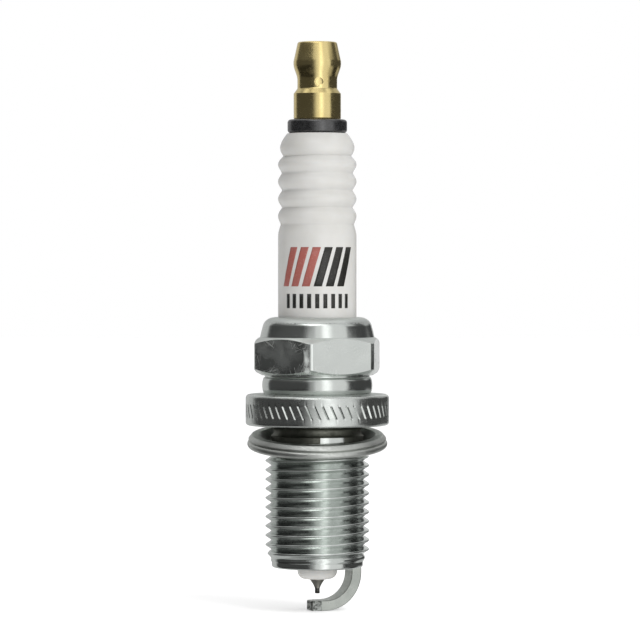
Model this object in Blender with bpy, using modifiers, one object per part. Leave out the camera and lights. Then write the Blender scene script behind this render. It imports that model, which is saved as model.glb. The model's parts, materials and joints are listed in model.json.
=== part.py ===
"""Spark plug, M14 x 1.25 thread, 19 mm reach, 16 mm hexagon, fine-wire centre electrode.

Frame: metres, +Z from the spark gap towards the terminal. The origin is on the plug's axis, in the
plane of the flange's underside, which is the face that seats on the cylinder head. The plug is seen
from its front along +Y. Every piece of the real plug is an object of its own.
"""

import math

import bmesh
import bpy
from mathutils import Matrix

MM = 0.001

# Driving dimensions --------------------------------------------------------------------------------
THREAD_PITCH = 1.25 * MM
THREAD_CREST_R = 6.97 * MM
THREAD_ROOT_R = 6.20 * MM
REACH = 19.0 * MM
HEX_ACROSS_FLATS = 16.0 * MM
FLANGE_R = 9.6 * MM
FLANGE_HEIGHT = 4.15 * MM
INSULATOR_R = 5.25 * MM
SPARK_GAP = 0.9 * MM
GAP = 0.05 * MM  # clearance between pieces that touch on the real plug

# Heights along the axis
SHELL_END_Z = -REACH
THREAD_TOP_Z = -3.3 * MM
THREAD_BOTTOM_Z = -18.3 * MM
HEX_BOTTOM_Z = 6.7 * MM
HEX_TOP_Z = 11.9 * MM
CRIMP_TOP_Z = 14.45 * MM
INSULATOR_TOP_Z = 39.0 * MM
WASHER_TOP_Z = 40.9 * MM
NUT_TOP_Z = 51.2 * MM
NOSE_END_Z = -20.6 * MM
TIP_END_Z = -22.55 * MM

# Shell
NECK_R = 6.15 * MM
PLAIN_END_R = 6.12 * MM
GROOVE_R = 7.2 * MM
GROOVE_BULGE_R = 7.4 * MM
CRIMP_BASE_R = 7.63 * MM
CRIMP_MOUTH_R = INSULATOR_R + 0.12 * MM
HEX_EDGE_ROUND = 0.6 * MM
HEX_FACE_R = 7.45 * MM  # where both chamfers start
HEX_TURN = math.radians(6.0)  # the nearest edge stands this far to the left of the front
HEX_CHAMFER_SLOPE = math.tan(math.radians(28.0))
KNURL_COUNT = 55
KNURL_BOTTOM_Z = 1.03 * MM
KNURL_TOP_Z = 2.96 * MM
KNURL_DEPTH = 0.16 * MM
KNURL_WIDTH = 0.36 * MM
KNURL_SLANT = math.radians(23.7)
COLLAR_BORE_R = 6.1 * MM
BARREL_BORE_R = 4.65 * MM
SEAT_BORE_R = 3.75 * MM
CHAMBER_R = 4.45 * MM
SEAT_Z = -8.3 * MM  # lower, inner edge of the cone that carries the insulator

# Insulator
COLLAR_R = COLLAR_BORE_R - 0.1 * MM
BARREL_R = BARREL_BORE_R - 0.1 * MM
NOSE_ROOT_R = 3.2 * MM
NOSE_END_R = 2.65 * MM
NOSE_ROUND = 1.05 * MM
STUD_BORE_R = 2.0 * MM
ELECTRODE_BORE_R = 1.05 * MM
RIB_PITCH = 2.3 * MM
FIRST_GROOVE_Z = 36.0 * MM
GROOVE_RADII = [r * MM for r in (4.53, 4.75, 4.70, 4.72, 4.90)]
TOP_BEAD_R = 4.98 * MM
TOP_FACE_R = 4.0 * MM

# Packing between shell and insulator
WIRE_R = 0.375 * MM
WIRE_RING_R = (COLLAR_BORE_R + INSULATOR_R) / 2
LOWER_RING_Z = 9.25 * MM
UPPER_RING_Z = 12.67 * MM

# Crush gasket, hanging loose and tilted under the flange
GASKET_R = 9.38 * MM
GASKET_INNER_R = 6.75 * MM
GASKET_TILT = math.radians(7.5)
GASKET_CENTRE_Z = -1.88 * MM
GASKET_SEAT_R = 8.6 * MM
GASKET_SEAT_HEIGHT = 0.7 * MM  # above the fold line

# Terminal
STUD_PITCH = 0.7 * MM
STUD_CREST_R = 1.93 * MM
STUD_ROOT_R = 1.60 * MM
STUD_TOP_Z = 48.6 * MM
STUD_THREAD_Z = 41.0 * MM
NUT_THREAD_CLEARANCE = 0.1 * MM
NUT_BULGE_R = 3.18 * MM
NUT_NECK_R = 2.66 * MM

# Electrodes
ELECTRODE_R = 1.0 * MM
TIP_R = 0.32 * MM
TIP_TOP_Z = -21.85 * MM
TAPER_POWER = 1.4  # 1 would be a plain cone, more draws its side in
STRAP_WIDTH = 2.6 * MM
STRAP_THICKNESS = 1.38 * MM
STRAP_OUTER_R = 5.9 * MM
STRAP_BEND_R = 4.3 * MM  # of the strap's centre line
STRAP_PAST_AXIS = 1.2 * MM
STRAP_TIP_WIDTH = 1.85 * MM
STRAP_TURN = math.radians(22.5)  # the strap's root stands this far behind the right-hand side
STRAP_TOP_Z = TIP_END_Z - SPARK_GAP

LARGE_SIDES = 32
MEDIUM_SIDES = 28
SMALL_SIDES = 16


# Scene ---------------------------------------------------------------------------------------------
def start_scene():
    for item in list(bpy.data.objects):
        bpy.data.objects.remove(item, do_unlink=True)
    parts = bpy.data.collections.new("spark_plug")
    cutters = bpy.data.collections.new("cutters")
    bpy.context.scene.collection.children.link(parts)
    bpy.context.scene.collection.children.link(cutters)
    return parts, cutters


PARTS, CUTTERS = start_scene()


def material(name, colour, roughness, metallic):
    made = bpy.data.materials.new(name)
    made.use_nodes = True
    shader = made.node_tree.nodes["Principled BSDF"]
    shader.inputs["Base Color"].default_value = (*colour, 1.0)
    shader.inputs["Roughness"].default_value = roughness
    shader.inputs["Metallic"].default_value = metallic
    return made


PLATED_STEEL = material("plated_steel", (0.72, 0.74, 0.74), 0.22, 1.0)
GASKET_STEEL = material("gasket_steel", (0.56, 0.57, 0.56), 0.35, 1.0)
RING_STEEL = material("ring_steel", (0.45, 0.45, 0.46), 0.45, 1.0)
NICKEL_ALLOY = material("nickel_alloy", (0.62, 0.63, 0.60), 0.38, 1.0)
IRIDIUM = material("iridium", (0.30, 0.30, 0.30), 0.4, 1.0)
COPPER = material("copper", (0.80, 0.42, 0.25), 0.35, 1.0)
BRASS = material("brass", (0.80, 0.63, 0.28), 0.2, 1.0)
BLACK_WASHER = material("black_washer", (0.03, 0.03, 0.032), 0.4, 0.0)
ALUMINA = material("alumina", (0.86, 0.86, 0.84), 0.25, 0.0)
TALC = material("talc", (0.80, 0.79, 0.74), 0.9, 0.0)
SEAL_GLASS = material("seal_glass", (0.30, 0.20, 0.14), 0.4, 0.0)
RESISTOR = material("resistor", (0.05, 0.05, 0.05), 0.7, 0.0)


def add_object(name, mesh, surface=None, collection=PARTS):
    made = bpy.data.objects.new(name, mesh)
    collection.objects.link(made)
    if surface is not None:
        mesh.materials.append(surface)
    if collection is CUTTERS:
        made.hide_render = True
        made.display_type = "WIRE"
    return made


# Shapes --------------------------------------------------------------------------------------------
def arc(centre, radii, start_deg, end_deg, steps):
    """Points (r, z) along an ellipse's arc. Angles are from the outward direction towards +Z."""
    points = []
    for i in range(steps + 1):
        angle = math.radians(start_deg + (end_deg - start_deg) * i / steps)
        points.append((centre[0] + radii[0] * math.cos(angle), centre[1] + radii[1] * math.sin(angle)))
    return points


def turned(name, profile, surface=None, sides=MEDIUM_SIDES, hollow=False, collection=PARTS):
    """A lathe piece. The profile's (r, z) points run down the outer side, top to bottom. A solid
    piece starts and ends on the axis; a hollow one comes back up its bore."""
    bm = bmesh.new()
    vertices = [bm.verts.new((r, 0.0, z)) for r, z in profile]
    for a, b in zip(vertices, vertices[1:]):
        bm.edges.new((a, b))
    if hollow:
        bm.edges.new((vertices[-1], vertices[0]))
    mesh = bpy.data.meshes.new(name)
    bm.to_mesh(mesh)
    bm.free()
    made = add_object(name, mesh, surface, collection)
    lathe = made.modifiers.new("lathe", "SCREW")
    lathe.axis = "Z"
    lathe.angle = 2 * math.pi
    lathe.steps = sides
    lathe.render_steps = sides
    lathe.use_smooth_shade = True
    lathe.use_merge_vertices = True
    lathe.merge_threshold = 1e-6
    return made


def from_bmesh(name, bm, surface=None, collection=PARTS, smooth_below_deg=35.0):
    mesh = bpy.data.meshes.new(name)
    bm.to_mesh(mesh)
    bm.free()
    mesh.shade_smooth()
    mesh.set_sharp_from_angle(angle=math.radians(smooth_below_deg))
    return add_object(name, mesh, surface, collection)


def threaded_rod(
    name, root_r, crest_r, pitch, bottom, top, fades, sides, start_z, surface=None, collection=PARTS
):
    """A closed rod with a right-hand thread. A flat grid is wrapped round the axis and sheared by one
    pitch a turn, so that its rows follow the helix. start_z is the height of a crest at the front.
    The thread fades out over the two lengths in fades, at the bottom and at the top."""
    tooth = ((0.0, 0.0), (0.42, 1.0), (0.58, 1.0))  # (share of a pitch, share of the depth)
    rows_per_turn = len(tooth)
    turns = math.ceil((top - bottom) / pitch) + 2
    crest_share = (tooth[1][0] + tooth[2][0]) / 2
    front_turn = 0.75  # the front, -Y, as a share of a turn from +X
    # one row of the grid lies at first_z + pitch * share of the turn
    offset = (start_z - pitch * (crest_share + front_turn) - bottom) % pitch
    first_z = bottom + offset - 2 * pitch
    bm = bmesh.new()
    bmesh.ops.create_grid(bm, x_segments=sides, y_segments=rows_per_turn * turns, size=0.5)
    for vertex in bm.verts:
        turn = vertex.co.x + 0.5
        row = round((vertex.co.y + 0.5) * rows_per_turn * turns)
        share, depth = tooth[row % rows_per_turn]
        z = first_z + pitch * (row // rows_per_turn + share + turn)
        z = min(max(z, bottom), top)
        strength = min(1.0, (z - bottom) / fades[0], (top - z) / fades[1])
        r = root_r + (crest_r - root_r) * depth * strength
        angle = 2 * math.pi * turn
        vertex.co = (r * math.cos(angle), r * math.sin(angle), z)
    bmesh.ops.remove_doubles(bm, verts=bm.verts, dist=1e-7)
    bmesh.ops.dissolve_degenerate(bm, dist=1e-8, edges=bm.edges)
    bmesh.ops.holes_fill(bm, edges=bm.edges, sides=0)
    bmesh.ops.recalc_face_normals(bm, faces=bm.faces)
    bmesh.ops.triangulate(bm, faces=[f for f in bm.faces if len(f.verts) > 4])
    return from_bmesh(name, bm, surface, collection)


def boolean(target, tool, operation):
    modifier = target.modifiers.new(tool.name, "BOOLEAN")
    modifier.operation = operation
    modifier.object = tool
    modifier.solver = "EXACT"


# Metal shell ---------------------------------------------------------------------------------------
def hexagon():
    """The 16 mm hexagon: a six-sided prism with rounded edges, turned down to a chamfer at both ends."""
    corner_r = HEX_ACROSS_FLATS / 2 / math.cos(math.pi / 6)
    height = HEX_TOP_Z - HEX_BOTTOM_Z
    bm = bmesh.new()
    bmesh.ops.create_cone(
        bm, cap_ends=True, segments=6, radius1=corner_r, radius2=corner_r, depth=height,
        matrix=Matrix.Translation((0, 0, (HEX_TOP_Z + HEX_BOTTOM_Z) / 2)),
    )
    first = next(v for v in bm.verts)
    to_front = -math.pi / 2 - HEX_TURN - math.atan2(first.co.y, first.co.x)
    bmesh.ops.rotate(bm, verts=bm.verts, matrix=Matrix.Rotation(to_front, 3, "Z"))
    upright = [e for e in bm.edges if abs(e.verts[0].co.z - e.verts[1].co.z) > height / 2]
    bmesh.ops.bevel(bm, geom=upright, offset=HEX_EDGE_ROUND, segments=3, profile=0.5, affect="EDGES")
    prism = from_bmesh("hex_prism", bm, collection=CUTTERS)

    drop = (corner_r - HEX_FACE_R) * HEX_CHAMFER_SLOPE
    chamfers = turned(
        "hex_chamfers",
        [
            (0, HEX_TOP_Z),
            (HEX_FACE_R, HEX_TOP_Z),
            (corner_r, HEX_TOP_Z - drop),
            (corner_r, HEX_BOTTOM_Z + drop),
            (HEX_FACE_R, HEX_BOTTOM_Z),
            (0, HEX_BOTTOM_Z),
        ],
        sides=48,
        collection=CUTTERS,
    )
    boolean(prism, chamfers, "INTERSECT")
    return prism


def shell_body():
    """Neck, flange, heat-shrink groove, core of the hexagon and the lip rolled over the insulator."""
    lip_centre = (5.6 * MM, 13.0 * MM)
    profile = [(0, CRIMP_TOP_Z - 0.6 * MM), (4.5 * MM, CRIMP_TOP_Z - 0.6 * MM), (4.5 * MM, CRIMP_TOP_Z)]
    profile += arc(lip_centre, (1.73 * MM, CRIMP_TOP_Z - lip_centre[1]), 90, 6, 5)
    profile += [(CRIMP_BASE_R, HEX_TOP_Z), (GROOVE_BULGE_R, HEX_TOP_Z - 1.0 * MM)]
    profile += [(GROOVE_BULGE_R, HEX_BOTTOM_Z + 1.0 * MM), (GROOVE_R, HEX_BOTTOM_Z + 0.8 * MM)]
    profile += [(GROOVE_R, HEX_BOTTOM_Z - 0.3 * MM), (GROOVE_BULGE_R, 5.7 * MM)]
    profile += [(GROOVE_R, FLANGE_HEIGHT + 0.5 * MM), (GROOVE_R, FLANGE_HEIGHT)]
    top_round, bottom_round = 0.5 * MM, 0.42 * MM
    profile += arc((FLANGE_R - top_round, FLANGE_HEIGHT - top_round), (top_round, top_round), 90, 0, 2)
    profile += arc((FLANGE_R - bottom_round, bottom_round), (bottom_round, bottom_round), 0, -90, 2)
    profile += [(NECK_R, 0), (NECK_R, THREAD_TOP_Z - 0.5 * MM), (0, THREAD_TOP_Z - 0.5 * MM)]
    return turned("shell_body", profile, sides=LARGE_SIDES, collection=CUTTERS)


def plain_end():
    """The unthreaded, rounded end of the barrel, which the ground strap is welded to."""
    end_round = 0.35 * MM
    profile = [(0, THREAD_BOTTOM_Z + 0.5 * MM), (PLAIN_END_R, THREAD_BOTTOM_Z + 0.5 * MM)]
    profile += arc((PLAIN_END_R - end_round, SHELL_END_Z + end_round), (end_round, end_round), 0, -90, 2)
    profile += [(0, SHELL_END_Z)]
    return turned("plain_end", profile, sides=LARGE_SIDES, collection=CUTTERS)


def knurl():
    """The slanted V grooves round the flange, as one cutter of three-sided bars."""
    proud = 0.06 * MM  # how far a bar stands out of the flange
    bar_height = KNURL_DEPTH + proud
    bar_width = KNURL_WIDTH * bar_height / KNURL_DEPTH
    # a triangle of radius 1 is 1.5 high and as wide as the root of 3
    bar_size = Matrix.Diagonal((bar_height / 1.5, bar_width / math.sqrt(3), 1.0, 1.0))
    edge_inward = Matrix.Rotation(math.pi / 2, 4, "Z")
    slant = Matrix.Rotation(KNURL_SLANT, 4, "X")
    place = Matrix.Translation(
        (FLANGE_R - KNURL_DEPTH + bar_height / 1.5, 0, (KNURL_TOP_Z + KNURL_BOTTOM_Z) / 2)
    )
    length = (KNURL_TOP_Z - KNURL_BOTTOM_Z) / math.cos(KNURL_SLANT)
    bm = bmesh.new()
    for i in range(KNURL_COUNT):
        turn = Matrix.Rotation(2 * math.pi * (i + 0.25) / KNURL_COUNT, 4, "Z")
        bmesh.ops.create_cone(
            bm, cap_ends=True, segments=3, radius1=1.0, radius2=1.0, depth=length,
            matrix=turn @ place @ slant @ bar_size @ edge_inward,
        )
    return from_bmesh("knurl", bm, collection=CUTTERS)


def shell_bore():
    """The stepped bore: mouth, collar bore, barrel bore, the insulator's seat and the nose chamber."""
    ledge = 0.7 * MM
    profile = [
        (0, CRIMP_TOP_Z + 1.0 * MM),
        (CRIMP_MOUTH_R, CRIMP_TOP_Z + 1.0 * MM),
        (CRIMP_MOUTH_R, 13.6 * MM),
        (COLLAR_BORE_R, 13.1 * MM),
        (COLLAR_BORE_R, 3.4 * MM),
        (BARREL_BORE_R, 2.2 * MM),
        (BARREL_BORE_R, SEAT_Z + BARREL_BORE_R - SEAT_BORE_R),
        (SEAT_BORE_R, SEAT_Z),
        (SEAT_BORE_R, SEAT_Z - ledge),
        (CHAMBER_R, SEAT_Z - 2 * ledge),
        (CHAMBER_R, SHELL_END_Z - 1.0 * MM),
        (0, SHELL_END_Z - 1.0 * MM),
    ]
    return turned("shell_bore", profile, sides=LARGE_SIDES, collection=CUTTERS)


def metal_shell():
    shell = threaded_rod(
        "shell", THREAD_ROOT_R, THREAD_CREST_R, THREAD_PITCH, THREAD_BOTTOM_Z, THREAD_TOP_Z,
        fades=(1.9 * MM, 0.9 * MM), sides=LARGE_SIDES, start_z=-4.38 * MM, surface=PLATED_STEEL,
    )
    boolean(shell, plain_end(), "UNION")
    body = shell_body()
    boolean(body, knurl(), "DIFFERENCE")
    boolean(shell, body, "UNION")
    boolean(shell, hexagon(), "UNION")
    boolean(shell, shell_bore(), "DIFFERENCE")
    return shell


# Insulator -----------------------------------------------------------------------------------------
def rib_radius(z):
    """Outer radius of the insulator's ribbed top, between the top face and the plain body."""
    shoulder = INSULATOR_TOP_Z - 1.9 * MM
    last_groove = FIRST_GROOVE_Z - RIB_PITCH * (len(GROOVE_RADII) - 1)
    if z > shoulder:
        rise = (z - shoulder) / (INSULATOR_TOP_Z - shoulder)
        return TOP_FACE_R + (TOP_BEAD_R - TOP_FACE_R) * (1 - rise**1.7)
    if z > FIRST_GROOVE_Z:
        share = (z - FIRST_GROOVE_Z) / (shoulder - FIRST_GROOVE_Z)
        return GROOVE_RADII[0] + (TOP_BEAD_R - GROOVE_RADII[0]) * math.sin(share * math.pi / 2) ** 0.8
    if z > last_groove:
        index = min(int((FIRST_GROOVE_Z - z) / RIB_PITCH), len(GROOVE_RADII) - 2)
        share = (FIRST_GROOVE_Z - z) / RIB_PITCH - index
        valley = GROOVE_RADII[index] * (1 - share) + GROOVE_RADII[index + 1] * share
        return valley + (INSULATOR_R - valley) * math.sin(share * math.pi) ** 1.2
    share = min(1.0, (last_groove - z) / (1.6 * MM))
    return GROOVE_RADII[-1] + (INSULATOR_R - GROOVE_RADII[-1]) * math.sin(share * math.pi / 2)


def insulator():
    """The one-piece alumina insulator, with its bore for the stud, seals and centre electrode."""
    rib_steps = 4
    ribbed_bottom = FIRST_GROOVE_Z - RIB_PITCH * (len(GROOVE_RADII) - 1) - 1.6 * MM
    heights = [INSULATOR_TOP_Z - 1.9 * MM * share for share in (0.0, 0.25, 0.6, 1.0)]
    heights += [FIRST_GROOVE_Z + 0.45 * MM]
    rib_count = len(GROOVE_RADII) - 1
    heights += [FIRST_GROOVE_Z - RIB_PITCH * i / rib_steps for i in range(rib_steps * rib_count + 1)]
    heights += [ribbed_bottom + 0.8 * MM, ribbed_bottom]
    cone_offset = 0.64 * MM  # height of the insulator's cone above the shell's seat, for the washer
    cone_z = SEAT_Z + cone_offset
    profile = [(rib_radius(z), z) for z in heights]
    profile += [
        (INSULATOR_R, 9.1 * MM),
        (COLLAR_R, 7.9 * MM),
        (COLLAR_R, 3.55 * MM),
        (BARREL_R, 2.35 * MM),
        (BARREL_R, cone_z + BARREL_R - SEAT_BORE_R),
        (3.3 * MM, cone_z + 3.3 * MM - SEAT_BORE_R),
        (NOSE_ROOT_R, SEAT_Z - 0.3 * MM),
    ]
    nose_centre = (NOSE_END_R - NOSE_ROUND, NOSE_END_Z + NOSE_ROUND)
    profile += arc(nose_centre, (NOSE_ROUND, NOSE_ROUND), 0, -90, 3)
    profile += [
        (ELECTRODE_BORE_R, NOSE_END_Z),
        (ELECTRODE_BORE_R, -6.1 * MM),
        (STUD_BORE_R, -5.3 * MM),
        (STUD_BORE_R, INSULATOR_TOP_Z),
    ]
    return turned("insulator", profile, ALUMINA, hollow=True)


# Packing -------------------------------------------------------------------------------------------
def wire_ring(name, z):
    circle = [(WIRE_RING_R + r, z + h) for r, h in arc((0, 0), (WIRE_R, WIRE_R), 90, -225, 7)]
    return turned(name, circle, RING_STEEL, hollow=True)


def packing():
    wire_ring("lower_wire_ring", LOWER_RING_Z)
    wire_ring("upper_wire_ring", UPPER_RING_Z)
    top, bottom = UPPER_RING_Z - WIRE_R - GAP, LOWER_RING_Z + WIRE_R + GAP
    outer, inner = COLLAR_BORE_R - GAP, INSULATOR_R + GAP
    profile = [(inner, top), (outer, top), (outer, bottom), (inner, bottom)]
    turned("talc_packing", profile, TALC, hollow=True)


def seat_washer():
    """The soft steel washer on the cone that seals the insulator against the shell."""
    inner, outer = 3.8 * MM, 4.5 * MM
    lower, upper = SEAT_Z + 0.07 * MM, SEAT_Z + 0.57 * MM
    profile = [
        (inner, upper + inner - SEAT_BORE_R),
        (outer, upper + outer - SEAT_BORE_R),
        (outer, lower + outer - SEAT_BORE_R),
        (inner, lower + inner - SEAT_BORE_R),
    ]
    turned("inner_seat_washer", profile, RING_STEEL, hollow=True)


# Crush gasket --------------------------------------------------------------------------------------
def crush_gasket():
    """Folded steel gasket. Its section is drawn about the fold line, then the ring is tilted as it
    hangs: the back touches the flange and the front rests on the first thread."""
    upper_rim_r = GASKET_R - 0.13 * MM
    profile = [
        (7.66 * MM, GASKET_SEAT_HEIGHT),
        (GASKET_SEAT_R, GASKET_SEAT_HEIGHT),
        (9.1 * MM, 0.5 * MM),
        (upper_rim_r, 0.1 * MM),
        (upper_rim_r - 0.15 * MM, -0.04 * MM),
        (GASKET_R, -0.2 * MM),
        (9.33 * MM, -0.7 * MM),
        (8.95 * MM, -1.1 * MM),
        (8.4 * MM, -1.15 * MM),
        (GASKET_INNER_R + 0.5 * MM, -1.07 * MM),
        (GASKET_INNER_R, -0.85 * MM),
        (GASKET_INNER_R, -0.5 * MM),
        (7.3 * MM, 0.3 * MM),
    ]
    gasket = turned("crush_gasket", profile, GASKET_STEEL, sides=LARGE_SIDES, hollow=True)
    gasket.location = (0, 0, GASKET_CENTRE_Z)
    gasket.rotation_euler = (GASKET_TILT, 0, 0)


# Terminal ------------------------------------------------------------------------------------------
def terminal_stud():
    """Steel rod, grooved where the glass grips it, with an M4 thread for the terminal nut."""
    shank_r = 1.9 * MM
    grip_r = 1.5 * MM
    grip_bottom, grip_top = 8.6 * MM, 11.8 * MM
    grooves = 3
    neck_r, neck_top = STUD_ROOT_R - GAP, 42.0 * MM
    profile = [(0, neck_top), (neck_r, neck_top), (neck_r, STUD_THREAD_Z - 0.1 * MM)]
    profile += [(shank_r, STUD_THREAD_Z - 0.45 * MM), (shank_r, grip_top + 0.4 * MM), (grip_r, grip_top)]
    spacing = (grip_top - grip_bottom) / (grooves + 1)
    for i in range(1, grooves + 1):
        z = grip_top - spacing * i
        profile += [(grip_r, z + 0.2 * MM), (grip_r - 0.2 * MM, z), (grip_r, z - 0.2 * MM)]
    profile += [(grip_r, grip_bottom + 0.3 * MM), (grip_r - 0.4 * MM, grip_bottom), (0, grip_bottom)]
    shank = turned("stud_shank", profile, sides=SMALL_SIDES, collection=CUTTERS)
    stud = threaded_rod(
        "terminal_stud", STUD_ROOT_R, STUD_CREST_R, STUD_PITCH, STUD_THREAD_Z, STUD_TOP_Z,
        fades=(0.35 * MM, 0.35 * MM), sides=SMALL_SIDES, start_z=45.0 * MM, surface=PLATED_STEEL,
    )
    boolean(stud, shank, "UNION")


def terminal_washer():
    corner = 0.28 * MM
    outer, inner = 3.98 * MM, 2.1 * MM
    bottom, top = INSULATOR_TOP_Z + GAP, WASHER_TOP_Z - GAP
    profile = [(inner, top)]
    profile += arc((outer - corner, top - corner), (corner, corner), 90, 0, 2)
    profile += arc((outer - corner, bottom + corner), (corner, corner), 0, -90, 2)
    profile += [(inner, bottom)]
    turned("terminal_washer", profile, BLACK_WASHER, hollow=True)


def stake_mark():
    """The round dent punched in the front of the nut's neck."""
    ball_r, dent_depth, dent_z = 0.9 * MM, 0.2 * MM, 45.8 * MM
    to_side = 0.25 * MM  # the dent's distance from the nut's front
    place = Matrix.Translation((to_side, dent_depth - ball_r - NUT_NECK_R, dent_z))
    bm = bmesh.new()
    bmesh.ops.create_uvsphere(bm, u_segments=12, v_segments=8, radius=ball_r, matrix=place)
    return from_bmesh("stake_mark", bm, collection=CUTTERS)


def terminal_nut():
    """Brass terminal nut: bulged head for the push-on plug cap, a neck, a collar and an M4 bore."""
    collar_r = NUT_BULGE_R - 0.02 * MM
    waist_z = 46.1 * MM
    bulge_z = 48.3 * MM
    profile = [(0, NUT_TOP_Z)]
    profile += arc((2.35 * MM, NUT_TOP_Z - 0.25 * MM), (0.28 * MM, 0.25 * MM), 90, 15, 2)
    profile += [(NUT_BULGE_R - 0.03 * MM, bulge_z + 0.45 * MM), (NUT_BULGE_R, bulge_z + 0.1 * MM)]
    steps = 5
    for i in range(steps + 1):
        share = i / steps
        ease = (1 + math.cos(share * math.pi)) / 2
        r = NUT_NECK_R + (NUT_BULGE_R - NUT_NECK_R) * ease
        profile.append((r, bulge_z + (waist_z - bulge_z) * share))
    profile += [(NUT_NECK_R, 45.0 * MM), (collar_r - 0.05 * MM, 44.4 * MM), (collar_r, 44.3 * MM)]
    profile += [(collar_r, WASHER_TOP_Z + 0.1 * MM), (collar_r - 0.1 * MM, WASHER_TOP_Z)]
    profile += [(0, WASHER_TOP_Z)]
    nut = turned("terminal_nut", profile, BRASS, sides=24)
    bore = threaded_rod(
        "nut_thread",
        STUD_ROOT_R + NUT_THREAD_CLEARANCE,
        STUD_CREST_R + NUT_THREAD_CLEARANCE,
        STUD_PITCH,
        WASHER_TOP_Z - 1.0 * MM,
        STUD_TOP_Z + 0.5 * MM,
        fades=(0.35 * MM, 0.35 * MM),
        sides=SMALL_SIDES,
        start_z=45.0 * MM,
        collection=CUTTERS,
    )
    boolean(nut, bore, "DIFFERENCE")
    boolean(nut, stake_mark(), "DIFFERENCE")


# Conductor inside the insulator ----------------------------------------------------------------------
def seals_and_resistor():
    outer = STUD_BORE_R - GAP
    head_top = -4.3 * MM
    resistor_bottom, resistor_top = -1.6 * MM, 7.0 * MM
    socket_r, socket_bottom, seal_top = 1.55 * MM, 8.5 * MM, 11.6 * MM
    lower = [(0, resistor_bottom - GAP), (outer, resistor_bottom - GAP), (outer, head_top + GAP)]
    turned("lower_glass_seal", lower + [(0, head_top + GAP)], SEAL_GLASS, sides=SMALL_SIDES)
    rod = [(0, resistor_top), (outer, resistor_top), (outer, resistor_bottom), (0, resistor_bottom)]
    turned("resistor", rod, RESISTOR, sides=SMALL_SIDES)
    upper = [
        (0, socket_bottom),
        (socket_r, socket_bottom),
        (socket_r, seal_top),
        (outer, seal_top),
        (outer, resistor_top + GAP),
        (0, resistor_top + GAP),
    ]
    turned("upper_glass_seal", upper, SEAL_GLASS, sides=SMALL_SIDES)


def centre_electrode():
    """Nickel-alloy sheath with a copper core, tapering to the iridium tip welded on its end."""
    head_r, head_bottom, head_top = 1.93 * MM, -5.15 * MM, -4.3 * MM
    core_r, core_bottom = 0.6 * MM, -18.5 * MM
    taper_top, taper_bottom = NOSE_END_Z - 0.1 * MM, TIP_TOP_Z
    profile = [(0, core_bottom), (core_r, core_bottom), (core_r, head_top), (head_r, head_top)]
    profile += [(head_r, head_bottom), (ELECTRODE_R, -6.0 * MM)]
    steps = 5
    for i in range(steps + 1):
        share = i / steps
        r = TIP_R + 0.03 * MM + (ELECTRODE_R - TIP_R) * (1 - share) ** TAPER_POWER
        profile.append((min(r, ELECTRODE_R), taper_top + (taper_bottom - taper_top) * share))
    profile += [(0, taper_bottom)]
    turned("centre_electrode", profile, NICKEL_ALLOY, sides=SMALL_SIDES)
    core_r -= GAP
    core_bottom += GAP
    core = [(0, head_top), (core_r, head_top), (core_r, core_bottom), (0, core_bottom)]
    turned("electrode_copper_core", core, COPPER, sides=SMALL_SIDES)
    tip_top = TIP_TOP_Z - GAP / 2
    tip = [(0, tip_top), (TIP_R, tip_top), (TIP_R, TIP_END_Z), (0, TIP_END_Z)]
    turned("iridium_tip", tip, IRIDIUM, sides=SMALL_SIDES)


# Ground electrode ----------------------------------------------------------------------------------
def ground_strap():
    """The J-shaped strap: its centre line in the plane through the axis, swept with a flat section,
    and trimmed narrower at the free end."""
    mid_r = STRAP_OUTER_R - STRAP_THICKNESS / 2
    mid_z = STRAP_TOP_Z - STRAP_THICKNESS / 2
    bend = (mid_r - STRAP_BEND_R, mid_z + STRAP_BEND_R)
    steps = 10
    line = [((mid_r, SHELL_END_Z - GAP), (1.0, 0.0))]
    line += [((mid_r, (SHELL_END_Z + bend[1]) / 2), (1.0, 0.0))]
    for i in range(steps + 1):
        angle = -math.pi / 2 * i / steps
        outward = (math.cos(angle), math.sin(angle))
        line.append(((bend[0] + STRAP_BEND_R * outward[0], bend[1] + STRAP_BEND_R * outward[1]), outward))
    trim_start = 0.1 * MM
    line += [((trim_start, mid_z), (0.0, -1.0)), ((-STRAP_PAST_AXIS, mid_z), (0.0, -1.0))]
    bm = bmesh.new()
    rings = []
    for index, ((r, z), outward) in enumerate(line):
        width = STRAP_TIP_WIDTH if index == len(line) - 1 else STRAP_WIDTH
        corners = [(-1, -1), (1, -1), (1, 1), (-1, 1)]
        ring = []
        for across, side in corners:
            half = side * STRAP_THICKNESS / 2
            ring.append(bm.verts.new((r + outward[0] * half, across * width / 2, z + outward[1] * half)))
        rings.append(ring)
    for lower, upper in zip(rings, rings[1:]):
        for i in range(4):
            bm.faces.new((lower[i], lower[(i + 1) % 4], upper[(i + 1) % 4], upper[i]))
    bm.faces.new(rings[0])
    bm.faces.new(rings[-1])
    bmesh.ops.recalc_face_normals(bm, faces=bm.faces)
    root_ring = set(rings[0])
    along = [edge for edge in bm.edges if not set(edge.verts) <= root_ring and len(edge.link_faces) == 2]
    sharp = [edge for edge in along if edge.calc_face_angle(0.0) > math.radians(60)]
    bmesh.ops.bevel(bm, geom=sharp, offset=0.15 * MM, segments=1, affect="EDGES")
    strap = from_bmesh("ground_electrode", bm, NICKEL_ALLOY)
    strap.rotation_euler = (0, 0, STRAP_TURN)


def build():
    metal_shell()
    insulator()
    packing()
    seat_washer()
    crush_gasket()
    terminal_stud()
    terminal_washer()
    terminal_nut()
    seals_and_resistor()
    centre_electrode()
    ground_strap()


build()
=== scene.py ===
"""Looks of the spark plug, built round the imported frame. Lengths are in metres, as in the frame.

The frame's Z axis is the plug's axis. Z = 0 is the face that seats on the cylinder head, and -Y faces
the camera. The pieces that can be seen are replaced by finer ones of the same size. The hidden ones
keep their CAD shapes and only get a finish.
"""

import json
import math

import bmesh
import bpy
from mathutils import Matrix, Vector


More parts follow.
